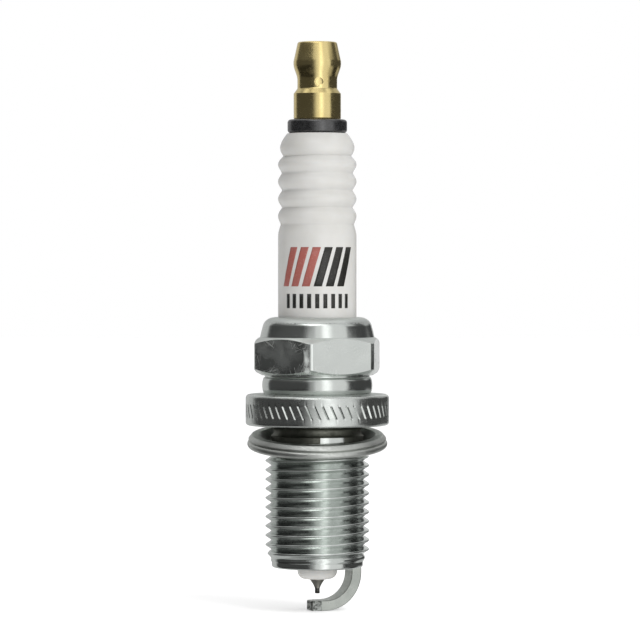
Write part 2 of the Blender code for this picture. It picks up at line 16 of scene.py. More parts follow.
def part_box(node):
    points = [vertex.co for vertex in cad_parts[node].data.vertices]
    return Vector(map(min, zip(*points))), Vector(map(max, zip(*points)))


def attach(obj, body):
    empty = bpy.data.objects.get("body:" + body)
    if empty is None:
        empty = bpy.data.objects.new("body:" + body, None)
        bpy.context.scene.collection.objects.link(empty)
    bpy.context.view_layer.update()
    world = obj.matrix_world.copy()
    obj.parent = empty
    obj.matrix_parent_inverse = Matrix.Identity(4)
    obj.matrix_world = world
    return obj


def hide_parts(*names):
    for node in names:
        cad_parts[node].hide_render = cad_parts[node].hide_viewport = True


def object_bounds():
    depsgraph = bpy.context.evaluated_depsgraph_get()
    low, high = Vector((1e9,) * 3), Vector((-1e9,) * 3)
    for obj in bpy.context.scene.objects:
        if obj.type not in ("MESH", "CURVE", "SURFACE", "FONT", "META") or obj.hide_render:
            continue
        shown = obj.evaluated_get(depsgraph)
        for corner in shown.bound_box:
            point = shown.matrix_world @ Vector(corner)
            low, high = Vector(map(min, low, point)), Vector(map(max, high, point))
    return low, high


MM = 0.001
ON_AXIS = 1e-9  # a smaller radius counts as zero
SAME_PLACE = 1e-7  # points closer than this are one point

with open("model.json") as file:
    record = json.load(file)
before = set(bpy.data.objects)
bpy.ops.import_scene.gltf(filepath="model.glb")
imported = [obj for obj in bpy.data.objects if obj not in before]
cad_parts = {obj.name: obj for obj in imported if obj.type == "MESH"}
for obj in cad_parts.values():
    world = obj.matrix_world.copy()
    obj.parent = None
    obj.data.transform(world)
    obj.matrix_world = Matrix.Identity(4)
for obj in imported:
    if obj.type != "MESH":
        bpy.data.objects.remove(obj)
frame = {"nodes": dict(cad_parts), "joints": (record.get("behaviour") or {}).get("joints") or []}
cad_low, cad_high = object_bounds()
NODES = frame["nodes"]
JOINTS = {joint["name"]: joint for joint in frame["joints"]}

# Camera -----------------------------------------------------------------------------------------
CAMERA_DISTANCE = 468 * MM
CAMERA_HEIGHT = 22.36 * MM
CAMERA_SIDE = 0.36 * MM  # the plug stands a little left of the picture's middle
AIM_HEIGHT = 14.06 * MM
VIEW_WIDTH = 85.62 * MM  # what the picture spans at the plug's axis
SENSOR = 36.0

# Sizes read from the frame ----------------------------------------------------------------------
SHELL_LOW, SHELL_HIGH = (corner.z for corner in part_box("shell"))
FLANGE_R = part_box("shell")[1].x
INSULATOR_LOW, INSULATOR_HIGH = (corner.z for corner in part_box("insulator"))
WASHER_LOW, WASHER_HIGH = (corner.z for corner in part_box("terminal_washer"))
WASHER_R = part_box("terminal_washer")[1].x
NUT_LOW, NUT_HIGH = (corner.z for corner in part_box("terminal_nut"))
NUT_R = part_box("terminal_nut")[1].x
STUD_LOW, STUD_HIGH = (corner.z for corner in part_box("terminal_stud"))
TIP_LOW, TIP_HIGH = (corner.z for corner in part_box("iridium_tip"))
TIP_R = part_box("iridium_tip")[1].x
ELECTRODE_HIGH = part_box("centre_electrode")[1].z
STRAP_LOW, STRAP_HIGH = (corner.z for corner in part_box("ground_electrode"))

# Other sizes ------------------------------------------------------------------------------------
# Shell
THREAD_PITCH = 1.25 * MM
THREAD_CREST_R = 6.97 * MM
THREAD_ROOT_R = 6.2 * MM
THREAD_TOP = -3.3 * MM
THREAD_BOTTOM = SHELL_LOW + 0.8 * MM
THREAD_FRONT_CREST = -4.43 * MM
CREST_ROUND, ROOT_ROUND = 0.26, 0.12  # shares of a flank taken up by its two roundings
NECK_R = 6.15 * MM
NECK_LOW = -1.45 * MM  # lower end of the recess under the flange
PATCH_LOW = -2.27 * MM  # the neck carries painted shade, as dark dull steel, down to here, but for a bright patch right of the front
PATCH_LEFT, PATCH_RIGHT = math.radians(4), math.radians(36)
NECK_MARGIN = 0.35 * MM  # the neck's finishes reach this far beyond its radius
BORE_R = 5.0 * MM
PLAIN_END_R = 6.12 * MM
FLANGE_HEIGHT = 4.15 * MM
FLANGE_RIM = 0.45 * MM  # the brushed finish starts this far in from the flange's side
HEX_LOW, HEX_HIGH = 6.7 * MM, 11.9 * MM
HEX_HALF = 8.0 * MM
HEX_EDGE_ROUND = 0.9 * MM
HEX_FACE_R = 7.45 * MM
HEX_CHAMFER_SLOPE = math.tan(math.radians(28))
HEX_TURN = math.radians(6)
KNURL_COUNT = 55
KNURL_LOW, KNURL_HIGH = 1.03 * MM, 2.96 * MM
KNURL_SLANT = math.radians(23.7)
KNURL_HALF_WIDTH = 0.17 * MM
KNURL_DEPTH = 0.14 * MM
KNURL_UNEVEN = 0.11  # a groove is up to twice this share shallower than KNURL_DEPTH
KNURL_WANDER = 2.4  # radians from one groove to the next, in the sine that makes them uneven
KNURL_RUN_OUT = 0.22 * MM

# Insulator
BODY_R = 5.25 * MM
RIB_PITCH = 2.3 * MM
FIRST_GROOVE = INSULATOR_HIGH - 3.0 * MM
GROOVE_RADII = [r * MM for r in (4.53, 4.75, 4.70, 4.72, 4.90)]
LAST_GROOVE = FIRST_GROOVE - RIB_PITCH * (len(GROOVE_RADII) - 1)
LAST_GROOVE_RUN = 1.6 * MM  # height over which the last groove runs out into the plain body
TOP_BEAD_R = 4.98 * MM
TOP_FACE_R = 4.0 * MM

# Stud
STUD_CREST_R = 1.93 * MM
STUD_ROOT_R = 1.6 * MM
STUD_PITCH = 0.7 * MM
STUD_THREAD_LOW = 41.0 * MM

ROUND_SIDES = 144
SMALL_SIDES = 96


# Mesh helpers -----------------------------------------------------------------------------------
def arc(centre, radii, start_deg, end_deg, steps):
    """Points (r, z) along an ellipse's arc. Angles are from the outward direction towards +Z."""
    points = []
    for i in range(steps + 1):
        angle = math.radians(start_deg + (end_deg - start_deg) * i / steps)
        r = centre[0] + radii[0] * math.cos(angle)
        z = centre[1] + radii[1] * math.sin(angle)
        points.append((r, z))
    return points


def on_circle(r, angle, z):
    return (r * math.cos(angle), r * math.sin(angle), z)


def even_angles(count):
    return [2 * math.pi * i / count for i in range(count)]


def clamp(value):
    return min(1.0, max(0.0, value))


def piece(name, bm, *materials, sharp_deg=35):
    """Turns a bmesh into an object whose edges are sharp above sharp_deg."""
    bmesh.ops.recalc_face_normals(bm, faces=bm.faces)
    mesh = bpy.data.meshes.new(name)
    bm.to_mesh(mesh)
    bm.free()
    mesh.shade_smooth()
    mesh.set_sharp_from_angle(angle=math.radians(sharp_deg))
    for material in materials:
        mesh.materials.append(material)
    made = bpy.data.objects.new(name, mesh)
    bpy.context.scene.collection.objects.link(made)
    return made


def turn(profile, angles, shape=None):
    """A bmesh of a closed profile of (r, z) points turned about Z.

    shape(r, z, angle) may move a point, and returns its new r and angle. A point on the axis becomes
    one vertex.
    """
    bm = bmesh.new()
    columns = []
    centre_points = {}
    for angle in angles:
        column = []
        for index, (r, z) in enumerate(profile):
            if r < ON_AXIS:
                if index not in centre_points:
                    centre_points[index] = bm.verts.new((0, 0, z))
                column.append(centre_points[index])
                continue
            new_r, new_angle = shape(r, z, angle) if shape else (r, angle)
            column.append(bm.verts.new(on_circle(new_r, new_angle, z)))
        columns.append(column)
    count = len(profile)
    for here, there in zip(columns, columns[1:] + columns[:1]):
        for i in range(count):
            j = (i + 1) % count
            corners = []
            for vertex in (here[i], there[i], there[j], here[j]):
                if vertex not in corners:
                    corners.append(vertex)
            if len(corners) > 2:
                bm.faces.new(corners)
    return bm


def tooth_height(from_crest):
    """Height of a thread's tooth: 1 at the crest, 0 at the root, a straight flank between roundings."""
    steepness = 1 / (1 - CREST_ROUND / 2 - ROOT_ROUND / 2)
    if from_crest < CREST_ROUND:
        return 1 - steepness * from_crest**2 / (2 * CREST_ROUND)
    if from_crest > 1 - ROOT_ROUND:
        return steepness * (1 - from_crest) ** 2 / (2 * ROOT_ROUND)
    return 1 - steepness * (from_crest - CREST_ROUND / 2)


def thread_bmesh(root_r, crest_r, pitch, low, high, fades, front_crest, sides, rows=24):
    """A right-hand thread from low to high, with a crest at the height front_crest at the front.

    It fades out over the two lengths in fades, at its lower and its upper end. Its rows follow the
    helix, and both ends are drawn in to a smaller ring inside the barrel.
    """
    front = 0.75  # the front, -Y, as a share of a turn from +X
    drawn_in = 0.95
    phase = (front_crest - low) / pitch - front
    first = low + (phase % 1.0 - 2.0) * pitch
    turns = math.ceil((high - low) / pitch) + 3  # the rows to spare are pressed flat onto the ends
    bm = bmesh.new()
    columns = []
    for side in range(sides + 1):
        share = side / sides
        column = []
        for row in range(rows * turns + 1):
            from_crest = abs((row / rows + 0.5) % 1.0 - 0.5) * 2
            z = min(max(first + pitch * (row / rows + share), low), high)
            strength = clamp(min((z - low) / fades[0], (high - z) / fades[1]))
            r = root_r + (crest_r - root_r) * tooth_height(from_crest) * strength
            column.append(bm.verts.new(on_circle(r, 2 * math.pi * share, z)))
        columns.append(column)
    for here, there in zip(columns, columns[1:]):
        for i in range(len(here) - 1):
            bm.faces.new((here[i], there[i], there[i + 1], here[i + 1]))
    bmesh.ops.remove_doubles(bm, verts=bm.verts, dist=SAME_PLACE)
    for end in (low, high):
        boundary = [edge for edge in bm.edges if edge.is_boundary]
        rim = [edge for edge in boundary if abs(edge.verts[0].co.z - end) < SAME_PLACE]
        drawn = bmesh.ops.extrude_edge_only(bm, edges=rim)["geom"]
        for vertex in [item for item in drawn if isinstance(item, bmesh.types.BMVert)]:
            vertex.co.x *= drawn_in
            vertex.co.y *= drawn_in
    return bm


# Materials --------------------------------------------------------------------------------------
PLATE = (0.70, 0.73, 0.705)

# Metals without further treatment: colour, colour of the cloudy patches, roughness, other settings
PLAIN_METALS = {
    # painted shade: dark, dull steel that stands in for the shade on the neck under the flange
    "painted_shade_steel": ((0.24, 0.245, 0.21), (0.14, 0.145, 0.12), 0.45, {"turned": 0.004, "patches": 0.8}),
    "thread_steel": ((0.70, 0.735, 0.71), (0.50, 0.54, 0.51), 0.16, {"patches": 0.5}),
    "gasket_steel": (
        (0.67, 0.69, 0.66), (0.57, 0.59, 0.56), 0.42, {"turned": 0.003, "patches": 0.5, "pits": 0.2}
    ),
    "nickel_alloy": ((0.58, 0.61, 0.57), (0.42, 0.45, 0.42), 0.34, {"patches": 0.5, "pits": 0.4}),
    "electrode_nickel": (
        (0.42, 0.41, 0.37), (0.28, 0.27, 0.24), 0.5, {"turned": 0.003, "patches": 0.6}
    ),
    "iridium": ((0.14, 0.14, 0.13), (0.08, 0.08, 0.075), 0.62, {"patches": 0.6}),
    "brass": (
        (0.90, 0.74, 0.35), (0.74, 0.57, 0.22), 0.2, {"turned": 0.001, "patches": 0.45, "pits": 0.3}
    ),
    "stud_steel": ((0.52, 0.52, 0.50), (0.36, 0.36, 0.34), 0.3, {"turned": 0.003, "patches": 0.4}),
    "plain_steel": ((0.42, 0.42, 0.43), (0.26, 0.26, 0.27), 0.4, {"turned": 0.004}),
    "copper": ((0.85, 0.42, 0.24), (0.55, 0.24, 0.14), 0.35, {"turned": 0.004, "patches": 0.5}),
}


class Look:
    """A Principled material being put together, with object coordinates in millimetres."""

    def __init__(self, name, colour, roughness, metallic=0.0, **constants):
        self.material = bpy.data.materials.new(name)
        self.material.use_nodes = True
        self.tree = self.material.node_tree
        self.shader = self.tree.nodes["Principled BSDF"]
        self.shader.inputs["Base Color"].default_value = (*colour, 1)
        self.shader.inputs["Roughness"].default_value = roughness
        self.shader.inputs["Metallic"].default_value = metallic
        for socket, value in constants.items():
            self.shader.inputs[socket.replace("_", " ")].default_value = value
        coordinates = self.tree.nodes.new("ShaderNodeTexCoord")
        self.millimetres = self.add(
            "ShaderNodeVectorMath",
            {0: coordinates.outputs["Object"], "Scale": 1 / MM},
            operation="SCALE",
        ).outputs[0]

    def add(self, kind, inputs=None, **settings):
        made = self.tree.nodes.new(kind)
        for key, value in settings.items():
            setattr(made, key, value)
        for key, value in (inputs or {}).items():
            self.connect(value, made.inputs[key])
        return made

    def connect(self, value, socket):
        if isinstance(value, bpy.types.NodeSocket):
            self.tree.links.new(value, socket)
        else:
            socket.default_value = value

    def stretched(self, scale, rotation):
        """The coordinates in millimetres, turned and then multiplied by scale."""
        turned = self.add("ShaderNodeMapping", {"Vector": self.millimetres, "Rotation": rotation})
        inputs = {0: turned.outputs[0], 1: scale}
        return self.add("ShaderNodeVectorMath", inputs, operation="MULTIPLY").outputs[0]

    def noise(self, scale, detail=3.0, roughness=0.5, rotation=(0, 0, 0)):
        """Noise between about 0.3 and 0.7, whose grain is 1 / scale millimetres."""
        return self.add(
            "ShaderNodeTexNoise",
            {
                "Vector": self.stretched(scale, rotation),
                "Scale": 1.0,
                "Detail": detail,
                "Roughness": roughness,
            },
        ).outputs[0]

    def spots(self, per_mm, low, high):
        """1 in small round spots scattered over the surface, 0 elsewhere."""
        cells = self.add("ShaderNodeTexVoronoi", {"Vector": self.millimetres, "Scale": per_mm})
        return self.remap(cells.outputs["Distance"], low, high, 1, 0)

    def remap(self, value, from_low, from_high, to_low, to_high):
        return self.add(
            "ShaderNodeMapRange",
            {
                "Value": value,
                "From Min": from_low,
                "From Max": from_high,
                "To Min": to_low,
                "To Max": to_high,
            },
        ).outputs[0]

    def math(self, operation, a, b=0.0):
        return self.add("ShaderNodeMath", {0: a, 1: b}, operation=operation).outputs[0]

    def beside_front_edge(self):
        """1 in a band just left of the hexagon's front edge, weaker above and below, 0 elsewhere."""
        left_of_edge, full, faded = math.radians(3), math.radians(1.4), math.radians(3.6)
        top_fade, foot_fade = (9.2, 11.0), (6.9, 7.4)  # heights in millimetres
        x, y, z = self.add("ShaderNodeSeparateXYZ", {0: self.millimetres}).outputs
        angle = self.math("ARCTAN2", x, self.math("MULTIPLY", y, -1))
        from_band = self.math("ABSOLUTE", self.math("ADD", angle, HEX_TURN + left_of_edge))
        band = self.remap(from_band, full, faded, 1, 0)
        above = self.remap(z, *top_fade, 1, 0.2)
        below = self.remap(z, *foot_fade, 0, 1)
        return self.math("MULTIPLY", band, self.math("MULTIPLY", above, below))

    def facing_up(self, most):
        """Rises to most on the faces that look up."""
        normal = self.add("ShaderNodeNewGeometry").outputs["Normal"]
        upward = self.add("ShaderNodeSeparateXYZ", {0: normal}).outputs[2]
        return self.remap(upward, 0.4, 0.9, 0, most)

    def mix(self, factor, a, b):
        """Colour a where factor is 0 and colour b where it is 1."""
        node = self.add("ShaderNodeMix", data_type="RGBA")
        self.connect(factor, node.inputs[0])
        self.connect(a if isinstance(a, bpy.types.NodeSocket) else (*a, 1), node.inputs[6])
        self.connect(b if isinstance(b, bpy.types.NodeSocket) else (*b, 1), node.inputs[7])
        return node.outputs[2]

    def colour(self, value):
        self.connect(value, self.shader.inputs["Base Color"])

    def roughness(self, value):
        self.connect(value, self.shader.inputs["Roughness"])

    def bump(self, *layers):
        """Each layer is (height from 0 to 1, depth in millimetres)."""
        normal = None
        for height, depth in layers:
            inputs = {"Height": height, "Distance": depth * MM, "Strength": 1.0}
            if normal is not None:
                inputs["Normal"] = normal
            normal = self.add("ShaderNodeBump", inputs).outputs[0]
        self.connect(normal, self.shader.inputs["Normal"])


def metal(name, colour, shade, roughness, turned=0.0, patches=0.25, pits=0.0):
    """Bare or plated metal: cloudy patches towards the colour shade, uneven polish, dark pits, and
    fine marks of turning that are turned millimetres deep."""
    look = Look(name, colour, roughness, 1.0)
    clouds = look.remap(look.noise((0.5, 0.5, 0.35), detail=5), 0.38, 0.68, 0, patches)
    fine = look.noise((3, 3, 3), detail=4)
    surface = look.mix(clouds, colour, shade)
    if pits:
        strength = look.remap(fine, 0.5, 0.62, 0, pits)
        specks = look.math("MULTIPLY", look.spots(3.1, 0.05, 0.12), strength)
        surface = look.mix(specks, surface, tuple(c * 0.25 for c in shade))
    look.colour(surface)
    look.roughness(look.remap(fine, 0.3, 0.7, roughness * 0.7, roughness * 1.45))
    rings = look.noise((0.12, 0.12, 6), detail=3, roughness=0.6)
    look.bump((rings, turned), (look.noise((1.5, 1.5, 1.5), detail=1), 0.0012))
    return look


def plain_metal(name):
    """One of PLAIN_METALS as a material."""
    colour, shade, roughness, settings = PLAIN_METALS[name]
    return metal(name, colour, shade, roughness, **settings).material


def plated_steel():
    """Bright plating, hazier on the faces that look up."""
    look = metal("plated_steel", PLATE, (0.57, 0.61, 0.58), 0.16, turned=0.002, pits=0.6)
    polish = look.remap(look.noise((3, 3, 3), detail=4), 0.3, 0.7, 0.12, 0.22)
    look.roughness(look.math("ADD", polish, look.facing_up(0.35)))
    return look.material


def flange_steel():
    """The flange's knurled side, brushed finely all round."""
    look = metal("flange_steel", PLATE, (0.55, 0.59, 0.56), 0.3, turned=0.002, pits=0.6)
    look.roughness(look.remap(look.noise((0.8, 0.8, 2), detail=2), 0.3, 0.7, 0.2, 0.32))
    return look.material


def hexagon_steel():
    """The hexagon's plating, with fine scratches, scuffs, a light haze and wear at the front edge."""
    look = Look("hexagon_steel", PLATE, 0.12, 1.0)
    scratches = None
    for angle, threshold in ((0.4, 0.66), (-0.7, 0.67), (1.1, 0.66), (-1.3, 0.67)):
        lines = look.noise((0.3, 0.3, 8), detail=2, rotation=(0, angle, 0))
        thin = look.remap(lines, threshold, threshold + 0.04, 0, 1)
        scratches = thin if scratches is None else look.math("MAXIMUM", scratches, thin)
    where = look.remap(look.noise((0.45, 0.45, 0.45), detail=3), 0.46, 0.62, 0, 1)
    scuffs = look.math("MULTIPLY", scratches, where)
    clouds = look.remap(look.noise((0.4, 0.4, 0.4), detail=4), 0.35, 0.7, 0, 0.3)
    look.colour(look.mix(clouds, PLATE, (0.60, 0.635, 0.61)))
    grain = look.remap(look.noise((1.8, 1.8, 1.3), detail=3), 0.32, 0.68, 0.25, 0.95)
    worn = look.math("MULTIPLY", look.beside_front_edge(), grain)
    haze = look.remap(look.noise((0.5, 0.5, 0.5), detail=3), 0.42, 0.72, 0, 0.11)
    light_scuffs = look.math("MULTIPLY", scuffs, 0.35)
    dulled = look.math("MAXIMUM", look.math("MAXIMUM", worn, haze), light_scuffs)
    look.connect(look.math("SUBTRACT", 1.0, dulled), look.shader.inputs["Metallic"])
    marks = look.math("MAXIMUM", scuffs, worn)
    polish = look.math("ADD", look.math("MULTIPLY", marks, 0.4), 0.14)
    look.roughness(look.math("ADD", polish, look.facing_up(0.3)))
    look.bump((scuffs, 0.002), (look.noise((2, 2, 2), detail=2), 0.0012))
    return look.material


def cut_nickel():
    """The strap's trimmed sides and end: torn, duller metal."""
    look = Look("cut_nickel", (0.30, 0.32, 0.30), 0.42, 1.0)
    tears = look.remap(look.noise((1.6, 1.6, 2.6), detail=5, roughness=0.65), 0.38, 0.62, 0, 1)
    look.colour(look.mix(tears, (0.16, 0.17, 0.16), (0.60, 0.63, 0.60)))
    look.roughness(look.remap(tears, 0, 1, 0.6, 0.35))
    look.bump((tears, 0.025))
    return look.material


def alumina():
    """White alumina under a clear, slightly uneven glaze, with faint mottling and a few specks."""
    look = Look(
        "alumina",
        (0.68, 0.67, 0.65),
        0.42,
        Subsurface_Weight=0.15,
        Subsurface_Radius=(1.2, 1.0, 0.8),
        Subsurface_Scale=0.4 * MM,
        Coat_Weight=0.6,
        Coat_Roughness=0.09,
        Coat_IOR=1.5,
    )
    mottling = look.remap(look.noise((0.35, 0.35, 0.25), detail=4), 0.35, 0.7, 0, 1)
    base = look.mix(mottling, (0.665, 0.66, 0.64), (0.625, 0.618, 0.59))
    where = look.remap(look.noise((0.9, 0.9, 0.9)), 0.55, 0.62, 0, 0.5)
    specks = look.math("MULTIPLY", look.spots(1.4, 0.035, 0.06), where)
    look.colour(look.mix(specks, base, (0.45, 0.40, 0.32)))
    look.roughness(look.remap(look.noise((2, 2, 2)), 0.3, 0.7, 0.36, 0.5))
    waves = look.noise((0.8, 0.8, 0.5), detail=2)
    fine = look.noise((7, 7, 7), detail=2)
    look.bump((waves, 0.012), (fine, 0.0015))
    return look.material


def washer_black():
    """Slightly glossy black with a little dust."""
    look = Look("washer_black", (0.012, 0.012, 0.013), 0.26, IOR=2.0)
    dust = look.remap(look.noise((1.8, 1.8, 1.8), detail=5), 0.45, 0.75, 0, 0.5)
    look.colour(look.mix(dust, (0.010, 0.010, 0.011), (0.045, 0.046, 0.048)))
    look.roughness(look.remap(look.noise((4, 4, 4)), 0.3, 0.7, 0.22, 0.36))
    look.bump((look.noise((0.4, 0.4, 8), detail=3), 0.008))
    return look.material


def ink(name, colour, worn_colour):
    """Printed mark: slightly uneven cover over the white glaze."""
    look = Look(name, colour, 0.4, Coat_Weight=0.25, Coat_Roughness=0.12)
    wear = look.remap(look.noise((5, 5, 5), detail=4, roughness=0.7), 0.56, 0.7, 0, 0.4)
    look.colour(look.mix(wear, colour, worn_colour))
    look.roughness(look.remap(look.noise((6, 6, 6)), 0.3, 0.7, 0.33, 0.48))
    return look.material


def powder(name, colour, shade, roughness):
    """Pressed grains of two close colours."""
    look = Look(name, colour, roughness)
    grain = look.remap(look.noise((9, 9, 9), detail=5, roughness=0.7), 0.35, 0.65, 0, 1)
    look.colour(look.mix(grain, colour, shade))
    look.bump((look.noise((12, 12, 12), detail=4), 0.02))
    return look.material


def seal_glass():
    """Copper-filled glass: brown body with bright metal specks."""
    look = Look("seal_glass", (0.25, 0.14, 0.09), 0.35, Coat_Weight=0.3, Coat_Roughness=0.1)
    flakes = look.spots(7, 0.12, 0.22)
    look.colour(look.mix(flakes, (0.22, 0.12, 0.08), (0.75, 0.40, 0.24)))
    look.bump((look.noise((6, 6, 6)), 0.01))
    return look.material


# Pieces -----------------------------------------------------------------------------------------
def place(made, body, slot, *nodes):
    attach(made, body)
    if nodes:
        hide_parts(*nodes)


def knurl_angles():
    """Columns round the shell: five across each groove, one beside each of its edges, one between."""
    angles = []
    for groove in range(KNURL_COUNT):
        middle = 2 * math.pi * (groove + 0.25) / KNURL_COUNT
        half = KNURL_HALF_WIDTH / FLANGE_R
        angles += [middle + half * step for step in (-1.25, -1, -0.5, 0, 0.5, 1, 1.25)]
        angles.append(middle + math.pi / KNURL_COUNT)
    return angles


def knurl_shape():
    """Cuts the slanted grooves into the flange's side, some shallower than others, and slants the
    columns with them."""
    step = 2 * math.pi / KNURL_COUNT
    middle_z = (KNURL_LOW + KNURL_HIGH) / 2
    side_r = FLANGE_R - 0.02 * MM

    def shape(r, z, angle):
        reach = (KNURL_HIGH - KNURL_LOW) / 2
        offset = max(-reach, min(reach, z - middle_z))
        slanted = angle - offset * math.tan(KNURL_SLANT) / FLANGE_R
        if r < side_r or not KNURL_LOW < z < KNURL_HIGH:
            return r, slanted
        from_groove = abs((angle / step - 0.25 + 0.5) % 1.0 - 0.5) * step * FLANGE_R
        run_out = clamp(min(z - KNURL_LOW, KNURL_HIGH - z) / KNURL_RUN_OUT)
        groove = math.floor(angle / step)
        pressed = 1 - KNURL_UNEVEN + KNURL_UNEVEN * math.sin(KNURL_WANDER * groove)
        cut = KNURL_DEPTH * pressed * clamp(1 - from_groove / KNURL_HALF_WIDTH) * run_out
        return r - cut, slanted

    return shape


def shell_profile():
    """Outer side from the crimped lip down to the plain end, then back up the bore."""
    points = [(5.36 * MM, 13.5 * MM), (5.36 * MM, 14.2 * MM)]
    points += arc((5.62 * MM, 14.2 * MM), (0.26 * MM, 0.24 * MM), 180, 100, 4)
    points += arc((5.6 * MM, 13.0 * MM), (1.73 * MM, SHELL_HIGH - 13.0 * MM), 86, 6, 16)
    points += [(7.5 * MM, 12.5 * MM), (7.63 * MM, 11.9 * MM), (7.66 * MM, HEX_HIGH - 0.1 * MM)]
    points += [(7.3 * MM, HEX_HIGH - 0.4 * MM), (7.05 * MM, HEX_LOW + 0.4 * MM)]
    points += [(7.0 * MM, HEX_LOW - 0.15 * MM)]
    bulge_high, bulge_low = HEX_LOW - 0.3 * MM, FLANGE_HEIGHT + 0.15 * MM
    bulge_rows = 24
    for i in range(bulge_rows + 1):
        share = i / bulge_rows
        swell = math.sin(share * math.pi) ** 0.4
        points.append(((7.08 + 0.31 * swell) * MM, bulge_high + (bulge_low - bulge_high) * share))
    points += [(7.1 * MM, FLANGE_HEIGHT + 0.12 * MM), (7.35 * MM, FLANGE_HEIGHT)]
    top_round, bottom_round = 0.5 * MM, 0.42 * MM
    top_centre = (FLANGE_R - top_round, FLANGE_HEIGHT - top_round)
    points += arc(top_centre, (top_round, top_round), 90, 0, 8)
    band_rows = 18
    for i in range(band_rows + 1):
        points.append((FLANGE_R, KNURL_HIGH + (KNURL_LOW - KNURL_HIGH) * i / band_rows))
    points += arc((FLANGE_R - bottom_round, bottom_round), (bottom_round, bottom_round), 0, -90, 8)
    points += [(6.6 * MM, 0), (6.45 * MM, -0.06 * MM)]
    points += arc((6.45 * MM, -0.75 * MM), (0.62 * MM, 0.69 * MM), 90, 250, 12)
    points += [(NECK_R - 0.02 * MM, NECK_LOW), (NECK_R, NECK_LOW - 0.06 * MM), (NECK_R, PATCH_LOW)]
    under_thread_r = 6.0 * MM
    points += [(NECK_R, THREAD_TOP), (under_thread_r, THREAD_TOP - 0.5 * MM)]
    points += [(under_thread_r, THREAD_BOTTOM + 0.3 * MM), (PLAIN_END_R, THREAD_BOTTOM)]
    end_round = 0.3 * MM
    end_centre = (PLAIN_END_R - end_round, SHELL_LOW + end_round)
    points += arc(end_centre, (end_round, end_round), 0, -90, 6)
    chamber_r, chamber_edge = 4.45 * MM, 0.2 * MM
    seat_r, seat_z = 3.75 * MM, -8.3 * MM
    barrel_bore_r, head_bore_r = 4.65 * MM, 6.1 * MM
    points += [(chamber_r + chamber_edge, SHELL_LOW), (chamber_r, SHELL_LOW + chamber_edge)]
    points += [(chamber_r, seat_z - 1.4 * MM), (seat_r, seat_z - 0.7 * MM), (seat_r, seat_z)]
    points += [(barrel_bore_r, seat_z + 0.9 * MM), (barrel_bore_r, 2.2 * MM)]
    points += [(head_bore_r, 3.4 * MM), (head_bore_r, 13.1 * MM)]
    return points


def shell():
    """The shell in three pieces: what is turned, the thread and the hexagon."""
    bm = turn(shell_profile(), knurl_angles(), knurl_shape())
    painted_shade, brushed = 1, 2  # places in the piece's list of materials
    for face in bm.faces:
        middle = face.calc_center_median()
        r = math.hypot(middle.x, middle.y)
        from_front = math.atan2(middle.x, -middle.y)
        on_neck = BORE_R < r < NECK_R + NECK_MARGIN
        in_patch = middle.z < NECK_LOW and PATCH_LEFT < from_front < PATCH_RIGHT
        # painted shade: the neck and the recess under the flange, all but the bright patch, get dark
        # dull steel in place of the shade the flange casts there
        if on_neck and PATCH_LOW < middle.z < 0 and not in_patch:
            face.material_index = painted_shade
        elif r > FLANGE_R - FLANGE_RIM or on_neck and THREAD_TOP < middle.z < PATCH_LOW:
            face.material_index = brushed
    finishes = (plated_steel(), plain_metal("painted_shade_steel"), flange_steel())
    body = piece("shell_turned", bm, *finishes, sharp_deg=30)
    place(body, "plug_body", "plated_steel", "shell")

    thread = thread_bmesh(
        root_r=THREAD_ROOT_R,
        crest_r=THREAD_CREST_R,
        pitch=THREAD_PITCH,
        low=THREAD_BOTTOM,
        high=THREAD_TOP,
        fades=(1.6 * MM, 0.9 * MM),
        front_crest=THREAD_FRONT_CREST,
        sides=ROUND_SIDES,
    )
    barrel = piece("shell_thread", thread, plain_metal("thread_steel"), sharp_deg=50)
    place(barrel, "plug_body", "plated_steel", "shell")

    hexagon = piece("shell_hexagon", hexagon_bmesh(), hexagon_steel(), sharp_deg=24)
    place(hexagon, "plug_body", "plated_steel", "shell")


def hexagon_radius(angle):
    """Distance from the axis to the hexagon's side, with its upright edges rounded."""
    from_edge = abs((angle + math.pi / 2 + HEX_TURN + math.pi / 6) % (math.pi / 3) - math.pi / 6)
    from_flat = math.pi / 6 - from_edge
    centre = (HEX_HALF - HEX_EDGE_ROUND) / math.cos(math.pi / 6)
    if HEX_HALF * math.tan(from_flat) <= centre / 2:
        return HEX_HALF / math.cos(from_flat)
    aside = centre * math.sin(from_edge)
    return centre * math.cos(from_edge) + math.sqrt(HEX_EDGE_ROUND**2 - aside**2)


def hexagon_bmesh():
    """Each column of the hexagon runs down the upper chamfer cone, the side and the lower cone."""
    columns = 6 * 48
    face_width = 0.8 * MM  # the flat ring at each end, mostly inside the turned piece
    soft = 0.05 * MM  # rounding where a chamfer meets a side
    bm = bmesh.new()
    rings = []
    for angle in even_angles(columns):
        turned_angle = angle - HEX_TURN
        r = hexagon_radius(turned_angle)
        drop = (r - HEX_FACE_R) * HEX_CHAMFER_SLOPE
        edge_z = HEX_HIGH - drop
        half = [(HEX_FACE_R - face_width, HEX_HIGH), (HEX_FACE_R, HEX_HIGH)]
        half += [(r - 0.8 * soft, edge_z + 0.4 * soft), (r - 0.2 * soft, edge_z - 0.2 * soft)]
        half += [(r, edge_z - soft)]
        mirrored = [(point_r, HEX_HIGH + HEX_LOW - z) for point_r, z in reversed(half)]
        ring = [on_circle(point_r, turned_angle, z) for point_r, z in half + mirrored]
        rings.append([bm.verts.new(point) for point in ring])
    for here, there in zip(rings, rings[1:] + rings[:1]):
        for i in range(len(here)):
            j = (i + 1) % len(here)
            bm.faces.new((here[i], there[i], there[j], here[j]))
    return bm


